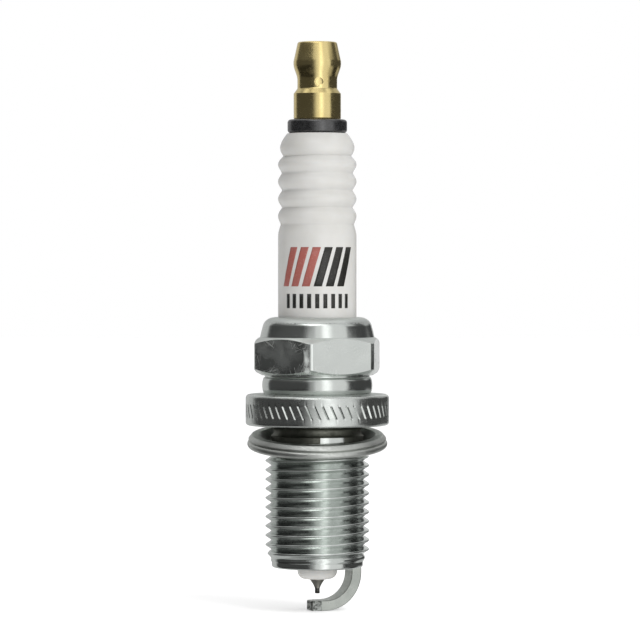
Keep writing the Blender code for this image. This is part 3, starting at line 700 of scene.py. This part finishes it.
def rib_radius(z):
    """Outer radius of the insulator's ribbed top."""
    shoulder = INSULATOR_HIGH - 1.9 * MM
    if z > shoulder:
        rise = (z - shoulder) / (INSULATOR_HIGH - shoulder)
        return TOP_BEAD_R - (TOP_BEAD_R - TOP_FACE_R) * rise**1.7
    if z > FIRST_GROOVE:
        share = (z - FIRST_GROOVE) / (shoulder - FIRST_GROOVE)
        swell = math.sin(share * math.pi / 2) ** 0.8
        return GROOVE_RADII[0] + (TOP_BEAD_R - GROOVE_RADII[0]) * swell
    if z > LAST_GROOVE:
        index = min(int((FIRST_GROOVE - z) / RIB_PITCH), len(GROOVE_RADII) - 2)
        share = (FIRST_GROOVE - z) / RIB_PITCH - index
        valley = GROOVE_RADII[index] * (1 - share) + GROOVE_RADII[index + 1] * share
        return valley + (BODY_R - valley) * math.sin(share * math.pi) ** 1.2
    share = clamp((LAST_GROOVE - z) / LAST_GROOVE_RUN)
    return GROOVE_RADII[-1] + (BODY_R - GROOVE_RADII[-1]) * math.sin(share * math.pi / 2)


def insulator():
    """Ribs and plain body, the collar hidden in the shell, the nose and the bore."""
    ribs_low = LAST_GROOVE - LAST_GROOVE_RUN
    rows = 110
    profile = [(2.0 * MM, INSULATOR_HIGH)]
    for i in range(rows + 1):
        z = INSULATOR_HIGH + (ribs_low - INSULATOR_HIGH) * i / rows
        profile.append((rib_radius(z), z))
    collar_r, waist_r = 6.0 * MM, 4.55 * MM
    profile += [(BODY_R, 20 * MM), (BODY_R, 9.1 * MM), (collar_r, 7.9 * MM), (collar_r, 3.55 * MM)]
    profile += [(waist_r, 2.35 * MM), (waist_r, -6.9 * MM)]
    profile += [(3.3 * MM, -8.1 * MM), (3.2 * MM, -8.6 * MM)]
    nose_r, nose_round, nose_bore_r = 2.65 * MM, 1.05 * MM, 1.05 * MM
    nose_centre = (nose_r - nose_round, INSULATOR_LOW + nose_round)
    profile += arc(nose_centre, (nose_round, nose_round), 5, -90, 14)
    profile += [(nose_bore_r + 0.07 * MM, INSULATOR_LOW), (nose_bore_r, INSULATOR_LOW + 0.08 * MM)]
    profile += [(nose_bore_r, -6.1 * MM), (2.0 * MM, -5.3 * MM)]
    bm = turn(profile, even_angles(ROUND_SIDES))
    made = piece("insulator_glazed", bm, alumina(), sharp_deg=40)
    place(made, "plug_body", "alumina", "insulator")


def printed_patch(name, outline, material, columns=6):
    """A thin printed mark that follows the insulator's body.

    outline gives the arc length from the front to the mark's lower left, lower right, upper right and
    upper left corner, and then the heights of its lower and its upper side.
    """
    (low_left, low_right, high_right, high_left), (low, high) = outline
    rows = 3
    bm = bmesh.new()
    grid = []
    for row in range(rows + 1):
        up = row / rows
        z = low + (high - low) * up
        left = low_left + (high_left - low_left) * up
        right = low_right + (high_right - low_right) * up
        line = []
        for column in range(columns + 1):
            angle = (left + (right - left) * column / columns) / BODY_R - math.pi / 2
            line.append(bm.verts.new(on_circle(BODY_R, angle, z)))
        grid.append(line)
    for lower, upper in zip(grid, grid[1:]):
        for i in range(columns):
            bm.faces.new((lower[i], lower[i + 1], upper[i + 1], upper[i]))
    made = piece(name, bm, material)
    film = made.modifiers.new("film", "SOLIDIFY")
    film.thickness = 0.03 * MM
    film.offset = 0
    place(made, "plug_body", None)


def printed_marks():
    """Plain decoration in place of lettering: slanted stripes, red on the left and black on the right,
    over a row of short black bars."""
    red = ink("print_red", (0.37, 0.105, 0.085), (0.55, 0.36, 0.32))
    black = ink("print_black", (0.014, 0.014, 0.011), (0.16, 0.155, 0.145))
    low, high = 18.6 * MM, 23.8 * MM
    width, spacing, slant = 1.1 * MM, 1.62 * MM, 1.5 * MM
    stripes = 6
    for i in range(stripes):
        middle = (i - (stripes - 1) / 2) * spacing
        corners = (
            middle - (width + slant) / 2,
            middle + (width - slant) / 2,
            middle + (width + slant) / 2,
            middle - (width - slant) / 2,
        )
        colour = red if i < stripes / 2 else black
        printed_patch(f"print_stripe_{i + 1}", (corners, (low, high)), colour)
    bars = 9
    bar_low, bar_high = 15.7 * MM, 17.6 * MM
    bar_width, bar_spacing = 0.55 * MM, 1.08 * MM
    for i in range(bars):
        middle = (i - (bars - 1) / 2) * bar_spacing
        left, right = middle - bar_width / 2, middle + bar_width / 2
        outline = ((left, right, right, left), (bar_low, bar_high))
        printed_patch(f"print_bar_{i + 1}", outline, black, columns=3)


def gasket():
    """The folded ring. It is built level, then tilted by the whole travel of its closing joint and
    hung with its point of contact on that joint's pivot."""
    joint = JOINTS["gasket_close"]
    tilt = math.radians(joint["range_deg"][1])
    outer = 9.38 * MM
    contact = Vector((0, 8.6 * MM, 0.7 * MM))
    profile = [(7.62 * MM, 0.55 * MM)]
    profile += arc((7.9 * MM, 0.4 * MM), (0.3 * MM, 0.28 * MM), 150, 92, 4)
    profile += [(8.2 * MM, contact.z), (contact.y, contact.z - 0.01 * MM)]
    profile += arc((8.72 * MM, 0.5 * MM), (0.17 * MM, 0.18 * MM), 75, 38, 3)
    profile += arc((9.12 * MM, 0.1 * MM), (0.1 * MM, 0.13 * MM), 38, -30, 4)
    profile += [(9.03 * MM, -0.04 * MM), (9.05 * MM, -0.07 * MM)]
    profile += arc((8.78 * MM, -0.55 * MM), (outer - 8.78 * MM, 0.49 * MM), 66, 0, 8)
    profile += arc((8.68 * MM, -0.6 * MM), (outer - 8.68 * MM, 0.54 * MM), -8, -85, 8)
    profile += [(8.2 * MM, -1.14 * MM), (7.2 * MM, -1.08 * MM)]
    profile += arc((6.98 * MM, -0.85 * MM), (0.23 * MM, 0.22 * MM), -90, -200, 6)
    profile += [(6.95 * MM, -0.5 * MM), (7.3 * MM, 0.1 * MM)]
    bm = turn(profile, even_angles(ROUND_SIDES))
    pivot = Vector(joint["pos_m"])
    hang = Matrix.Translation(pivot) @ Matrix.Rotation(tilt, 4, "X") @ Matrix.Translation(-contact)
    bmesh.ops.transform(bm, matrix=hang, verts=bm.verts)
    made = piece("gasket_folded", bm, plain_metal("gasket_steel"), sharp_deg=40)
    place(made, "gasket_body", "gasket_steel", "crush_gasket")


def washer():
    """The dark ring under the nut, with rounded outer edges."""
    corner, inner = 0.42 * MM, 2.1 * MM
    profile = [(inner, WASHER_HIGH)]
    profile += arc((WASHER_R - corner, WASHER_HIGH - corner), (corner, corner), 90, 0, 8)
    profile += arc((WASHER_R - corner, WASHER_LOW + corner), (corner, corner), 0, -90, 8)
    profile += [(inner, WASHER_LOW)]
    bm = turn(profile, even_angles(SMALL_SIDES))
    made = piece("washer_moulded", bm, washer_black(), sharp_deg=40)
    place(made, "washer_body", "black_washer", "terminal_washer")


def terminal_nut():
    """Turned head, neck and collar, a blind countersunk bore, and the dent that locks the thread."""
    neck_r, collar_r, bore_r = 2.66 * MM, NUT_R - 0.02 * MM, 1.98 * MM
    bulge_z, waist_z, neck_low = NUT_HIGH - 2.9 * MM, NUT_HIGH - 5.1 * MM, NUT_HIGH - 6.26 * MM
    profile = [(0, NUT_HIGH)]
    profile += arc((2.37 * MM, NUT_HIGH - 0.26 * MM), (0.29 * MM, 0.26 * MM), 90, 12, 6)
    profile += [(NUT_R - 0.05 * MM, bulge_z + 0.5 * MM), (NUT_R, bulge_z + 0.3 * MM)]
    profile += [(NUT_R, bulge_z + 0.08 * MM)]
    steps = 16
    for i in range(steps + 1):
        share = i / steps
        ease = (1 + math.cos(share * math.pi)) / 2
        profile.append((neck_r + (NUT_R - neck_r) * ease, bulge_z + (waist_z - bulge_z) * share))
    profile += [(neck_r, neck_low + 0.08 * MM), (neck_r + 0.05 * MM, neck_low - 0.03 * MM)]
    profile += [(collar_r - 0.07 * MM, neck_low - 0.54 * MM), (collar_r, neck_low - 0.63 * MM)]
    profile += [(collar_r, NUT_LOW + 0.12 * MM), (collar_r - 0.1 * MM, NUT_LOW), (2.3 * MM, NUT_LOW)]
    profile += [(bore_r, NUT_LOW + 0.3 * MM), (bore_r, STUD_HIGH + 0.4 * MM), (0, STUD_HIGH + 0.9 * MM)]

    dent_r, dent_depth = 0.55 * MM, 0.13 * MM
    dent_x, dent_z = 0.25 * MM, NUT_HIGH - 5.4 * MM
    outside_r = 2.5 * MM  # what lies nearer the axis is the bore

    def dent(r, z, angle):
        across = neck_r * math.cos(angle) - dent_x
        far = math.hypot(across, z - dent_z) / dent_r
        if far < 1 and math.sin(angle) < 0 and r > outside_r:
            return r - dent_depth * math.sqrt(1 - far * far), angle
        return r, angle

    fine_row, fine_reach = 0.07 * MM, 1.2 * MM  # finer rows near the dent
    fine_profile = []
    for (r1, z1), (r2, z2) in zip(profile, profile[1:]):
        near_dent = abs((z1 + z2) / 2 - dent_z) < fine_reach
        parts = max(1, round(abs(z2 - z1) / fine_row)) if near_dent else 1
        for i in range(parts):
            fine_profile.append((r1 + (r2 - r1) * i / parts, z1 + (z2 - z1) * i / parts))
    fine_profile.append(profile[-1])
    bm = turn(fine_profile, even_angles(2 * ROUND_SIDES), dent)
    made = piece("nut_turned", bm, plain_metal("brass"), sharp_deg=32)
    place(made, "nut_body", "brass", "terminal_nut")


def stud():
    """The stud in two pieces: the fine thread, which shows once the nut is unscrewed, and the shank."""
    thread = thread_bmesh(
        root_r=STUD_ROOT_R,
        crest_r=STUD_CREST_R,
        pitch=STUD_PITCH,
        low=STUD_THREAD_LOW,
        high=STUD_HIGH,
        fades=(STUD_PITCH / 2, STUD_PITCH / 2),
        front_crest=45.0 * MM,
        sides=SMALL_SIDES,
        rows=12,
    )
    made = piece("stud_thread", thread, plain_metal("stud_steel"), sharp_deg=50)
    place(made, "plug_body", "stud_steel", "terminal_stud")
    core_r, shank_r, foot_r = 1.58 * MM, 1.9 * MM, 1.5 * MM
    profile = [(0, STUD_HIGH), (1.45 * MM, STUD_HIGH), (core_r, STUD_HIGH - 0.2 * MM)]
    profile += [(core_r, STUD_THREAD_LOW - 0.1 * MM), (shank_r, STUD_THREAD_LOW - 0.45 * MM)]
    profile += [(shank_r, STUD_LOW + 3.6 * MM), (foot_r, STUD_LOW + 3.2 * MM)]
    profile += [(foot_r, STUD_LOW), (0, STUD_LOW)]
    bm = turn(profile, even_angles(SMALL_SIDES))
    shank = piece("stud_shank", bm, plain_metal("stud_steel"), sharp_deg=30)
    place(shank, "plug_body", "stud_steel", "terminal_stud")


def centre_electrode():
    """The centre electrode with its head and its tapered end, and the fine-wire tip."""
    taper_high = INSULATOR_LOW - 0.1 * MM
    head_r, shank_r, neck_r = 1.9 * MM, 1.0 * MM, TIP_R + 0.03 * MM
    profile = [(0, ELECTRODE_HIGH), (head_r, ELECTRODE_HIGH), (head_r, ELECTRODE_HIGH - 0.85 * MM)]
    profile += [(shank_r, ELECTRODE_HIGH - 1.7 * MM)]
    steps = 16
    for i in range(steps + 1):
        share = i / steps
        r = min(shank_r, neck_r + (shank_r - neck_r) * (1 - share) ** 1.4)
        profile.append((r, taper_high + (TIP_HIGH - taper_high) * share))
    profile += [(0, TIP_HIGH)]
    bm = turn(profile, even_angles(64))
    made = piece("electrode_turned", bm, plain_metal("electrode_nickel"), sharp_deg=40)
    place(made, "plug_body", "nickel_alloy", "centre_electrode")

    edge = 0.03 * MM
    profile = [(0, TIP_HIGH), (TIP_R - edge, TIP_HIGH), (TIP_R, TIP_HIGH - edge)]
    profile += [(TIP_R, TIP_LOW + edge), (TIP_R - edge, TIP_LOW), (0, TIP_LOW)]
    tip = piece("tip_wire", turn(profile, even_angles(48)), plain_metal("iridium"), sharp_deg=40)
    place(tip, "plug_body", "iridium", "iridium_tip")


def ground_strap():
    """The J-shaped strap: a rounded flat section swept along a line and trimmed at the free end."""
    width, thickness, tip_width = 2.6 * MM, 1.38 * MM, 1.85 * MM
    outer_r, past_axis, bend_r = 5.9 * MM, 1.2 * MM, 4.3 * MM
    turn_back = math.radians(22.5)
    corner = 0.14 * MM
    middle_r = outer_r - thickness / 2
    middle_z = STRAP_LOW + thickness / 2
    bend_centre = (middle_r - bend_r, middle_z + bend_r)
    # Each stop along the strap: its middle, the direction of the strap's outer side, width, scale
    line = [((middle_r, STRAP_HIGH), (1, 0), width, 1.0)]
    steps = 24
    for i in range(steps + 1):
        angle = -math.pi / 2 * i / steps
        outward = (math.cos(angle), math.sin(angle))
        middle = (bend_centre[0] + bend_r * outward[0], bend_centre[1] + bend_r * outward[1])
        line.append((middle, outward, width, 1.0))
    trimmed_from = len(line)
    trim_start = 0.1 * MM
    for along, scale in ((0.0, 1.0), (0.86, 1.0), (0.95, 0.94), (1.0, 0.82)):
        r = trim_start - (trim_start + past_axis) * along
        line.append(((r, middle_z), (0, -1), width + (tip_width - width) * along, scale))

    section = []
    for quarter, (sx, sy) in enumerate(((1, 1), (-1, 1), (-1, -1), (1, -1))):
        for step in range(4):
            angle = math.radians(90 * quarter + 30 * step)
            section.append((sx, sy, math.cos(angle), math.sin(angle)))
    bm = bmesh.new()
    rings = []
    for (r, z), outward, ring_width, scale in line:
        ring = []
        for sx, sy, cos_a, sin_a in section:
            across = (sx * (ring_width / 2 - corner) + corner * cos_a) * scale
            out = (sy * (thickness / 2 - corner) + corner * sin_a) * scale
            ring.append(bm.verts.new((r + outward[0] * out, across, z + outward[1] * out)))
        rings.append(ring)
    cut = 1  # place in the piece's list of materials
    broad_sides = (3, 11)  # the section's edges that face outward and inward, which aren't trimmed
    for number, (here, there) in enumerate(zip(rings, rings[1:])):
        for i in range(len(here)):
            j = (i + 1) % len(here)
            face = bm.faces.new((here[i], here[j], there[j], there[i]))
            if number >= trimmed_from and i not in broad_sides:
                face.material_index = cut
    bm.faces.new(rings[0])
    bm.faces.new(rings[-1]).material_index = cut
    bmesh.ops.rotate(bm, verts=bm.verts, matrix=Matrix.Rotation(turn_back, 3, "Z"))
    made = piece("strap_bent", bm, plain_metal("nickel_alloy"), cut_nickel(), sharp_deg=12)
    place(made, "plug_body", "nickel_alloy", "ground_electrode")


def hidden_nodes():
    """Finishes for the pieces inside the plug, which keep their CAD shapes."""
    steel, glass = plain_metal("plain_steel"), seal_glass()
    finishes = {
        "inner_seat_washer": steel,
        "lower_wire_ring": steel,
        "upper_wire_ring": steel,
        "lower_glass_seal": glass,
        "upper_glass_seal": glass,
        "resistor": powder("resistor_fill", (0.05, 0.048, 0.045), (0.11, 0.10, 0.09), 0.75),
        "talc_packing": powder("talc", (0.80, 0.79, 0.74), (0.68, 0.67, 0.62), 0.9),
        "electrode_copper_core": plain_metal("copper"),
    }
    for name, finish in finishes.items():
        mesh = NODES[name].data
        mesh.materials.clear()
        mesh.materials.append(finish)


# Stage ------------------------------------------------------------------------------------------
def floor():
    """A large sheet of nearly white paper, which glows a little so that it stays white."""
    half, gap = 1.6, 0.05 * MM
    z = cad_low.z - gap
    corners = [(-half, -half, z), (half, -half, z), (half, half, z), (-half, half, z)]
    mesh = bpy.data.meshes.new("floor")
    mesh.from_pydata(corners, [], [(0, 1, 2, 3)])
    paper, paper_shade = (0.925, 0.925, 0.925), (0.935, 0.935, 0.935)
    glow = {"Emission_Color": (1, 1, 1, 1), "Emission_Strength": 0.45}
    look = Look("floor_paper", paper, 0.8, **glow)
    look.colour(look.mix(look.noise((0.004, 0.004, 0.004)), paper, paper_shade))
    mesh.materials.append(look.material)
    made = bpy.data.objects.new("floor", mesh)
    bpy.context.scene.collection.objects.link(made)
    made.visible_glossy = False


def studio():
    """White surroundings for the camera, and for everything else soft panels in a dim room.

    Each panel is (azimuth to the right of the camera, half width, softness of its sides, lowest and
    highest elevation, softness above and below, brightness), with the angles in degrees.
    """
    panels = (
        (31, 37, 4, -70, 60, 5, 1.02),
        (20, 13, 13, -70, 60, 8, 1.9),
        (2, 14, 16, -70, 60, 8, 0.9),
        (-155, 32, 6, -60, 60, 8, 0.68),
        (151, 27, 6, 12, 60, 6, 0.6),
        (151, 27, 6, -60, -8, 6, 0.6),
        (171, 12, 4, -60, 60, 6, 0.9),
        (35, 60, 12, 24, 60, 8, 0.85),
        (62, 28, 10, -70, -16, 6, 0.55),
        (0, 190, 1, 16, 100, 5, 0.12),
        (0, 190, 1, 34, 100, 7, 0.40),
        (0, 190, 1, 68, 100, 6, 1.2),
        (180, 100, 10, 50, 100, 8, 1.25),
        (0, 190, 1, -14, 100, 6, 0.08),
        (0, 190, 1, -100, -40, 8, 0.45),
    )
    streak = (-12, 30, 28, 44, 58, 6, 4.0)  # seen by the shiny parts only
    dim = 0.03  # the room between the panels
    world = bpy.data.worlds.new("studio")
    bpy.context.scene.world = world
    world.use_nodes = True
    tree = world.node_tree
    nodes, links = tree.nodes, tree.links
    nodes.clear()

    def math_node(operation, *values):
        made = nodes.new("ShaderNodeMath")
        made.operation = operation
        for index, value in enumerate(values):
            if isinstance(value, bpy.types.NodeSocket):
                links.new(value, made.inputs[index])
            else:
                made.inputs[index].default_value = value
        return made.outputs[0]

    def ramp(value, start, end):
        made = nodes.new("ShaderNodeMapRange")
        made.interpolation_type = "SMOOTHSTEP"
        links.new(value, made.inputs["Value"])
        made.inputs["From Min"].default_value = start
        made.inputs["From Max"].default_value = end
        return made.outputs[0]

    direction = nodes.new("ShaderNodeTexCoord").outputs["Generated"]
    split = nodes.new("ShaderNodeSeparateXYZ")
    links.new(direction, split.inputs[0])
    x, y, z = split.outputs
    from_front = math_node("ARCTAN2", x, math_node("MULTIPLY", y, -1))
    azimuth = math_node("MULTIPLY", from_front, math.degrees(1))
    elevation = math_node("MULTIPLY", math_node("ARCSINE", z), math.degrees(1))
    light_path = nodes.new("ShaderNodeLightPath")

    def panel_light(middle, half_width, side_soft, low, high, soft, brightness):
        turned = math_node("WRAP", math_node("SUBTRACT", azimuth, middle), 180, -180)
        wide = ramp(math_node("ABSOLUTE", turned), half_width + side_soft, half_width - side_soft)
        above = ramp(elevation, low - soft, low + soft)
        below = ramp(elevation, high + soft, high - soft)
        inside = math_node("MULTIPLY", math_node("MULTIPLY", wide, above), below)
        return math_node("MULTIPLY", inside, brightness)

    total = math_node("MULTIPLY", panel_light(*streak), light_path.outputs["Is Glossy Ray"])
    for panel in panels:
        total = math_node("MAXIMUM", total, panel_light(*panel))
    room = nodes.new("ShaderNodeBackground")
    links.new(math_node("MAXIMUM", total, dim), room.inputs["Strength"])
    white = nodes.new("ShaderNodeBackground")
    white.inputs["Color"].default_value = (1, 1, 1, 1)
    pick = nodes.new("ShaderNodeMixShader")
    links.new(light_path.outputs["Is Camera Ray"], pick.inputs["Fac"])
    links.new(room.outputs[0], pick.inputs[1])
    links.new(white.outputs[0], pick.inputs[2])
    out = nodes.new("ShaderNodeOutputWorld")
    links.new(pick.outputs[0], out.inputs["Surface"])


def key_light():
    """One soft lamp, high on the right, for the shape of the white parts."""
    data = bpy.data.lights.new("key", "AREA")
    data.shape = "RECTANGLE"
    data.size, data.size_y = 0.5, 0.5
    data.energy = 4.2
    lamp = bpy.data.objects.new("key", data)
    bpy.context.scene.collection.objects.link(lamp)
    lamp.location = (0.45, -0.55, 0.75)
    lamp.rotation_euler = (-lamp.location).to_track_quat("-Z", "Y").to_euler()
    lamp.visible_glossy = False


def camera():
    """The camera of the front view."""
    data = bpy.data.cameras.new("camera")
    data.sensor_width = SENSOR
    data.lens = SENSOR * CAMERA_DISTANCE / VIEW_WIDTH
    data.clip_start = 0.01
    made = bpy.data.objects.new("camera", data)
    bpy.context.scene.collection.objects.link(made)
    made.location = (CAMERA_SIDE, -CAMERA_DISTANCE, CAMERA_HEIGHT)
    aim = Vector((CAMERA_SIDE, 0, AIM_HEIGHT)) - made.location
    made.rotation_euler = aim.to_track_quat("-Z", "Y").to_euler()
    bpy.context.scene.camera = made


shell()
insulator()
printed_marks()
gasket()
washer()
terminal_nut()
stud()
centre_electrode()
ground_strap()
hidden_nodes()
floor()
studio()
key_light()
camera()
bpy.context.scene.view_settings.view_transform = "Standard"
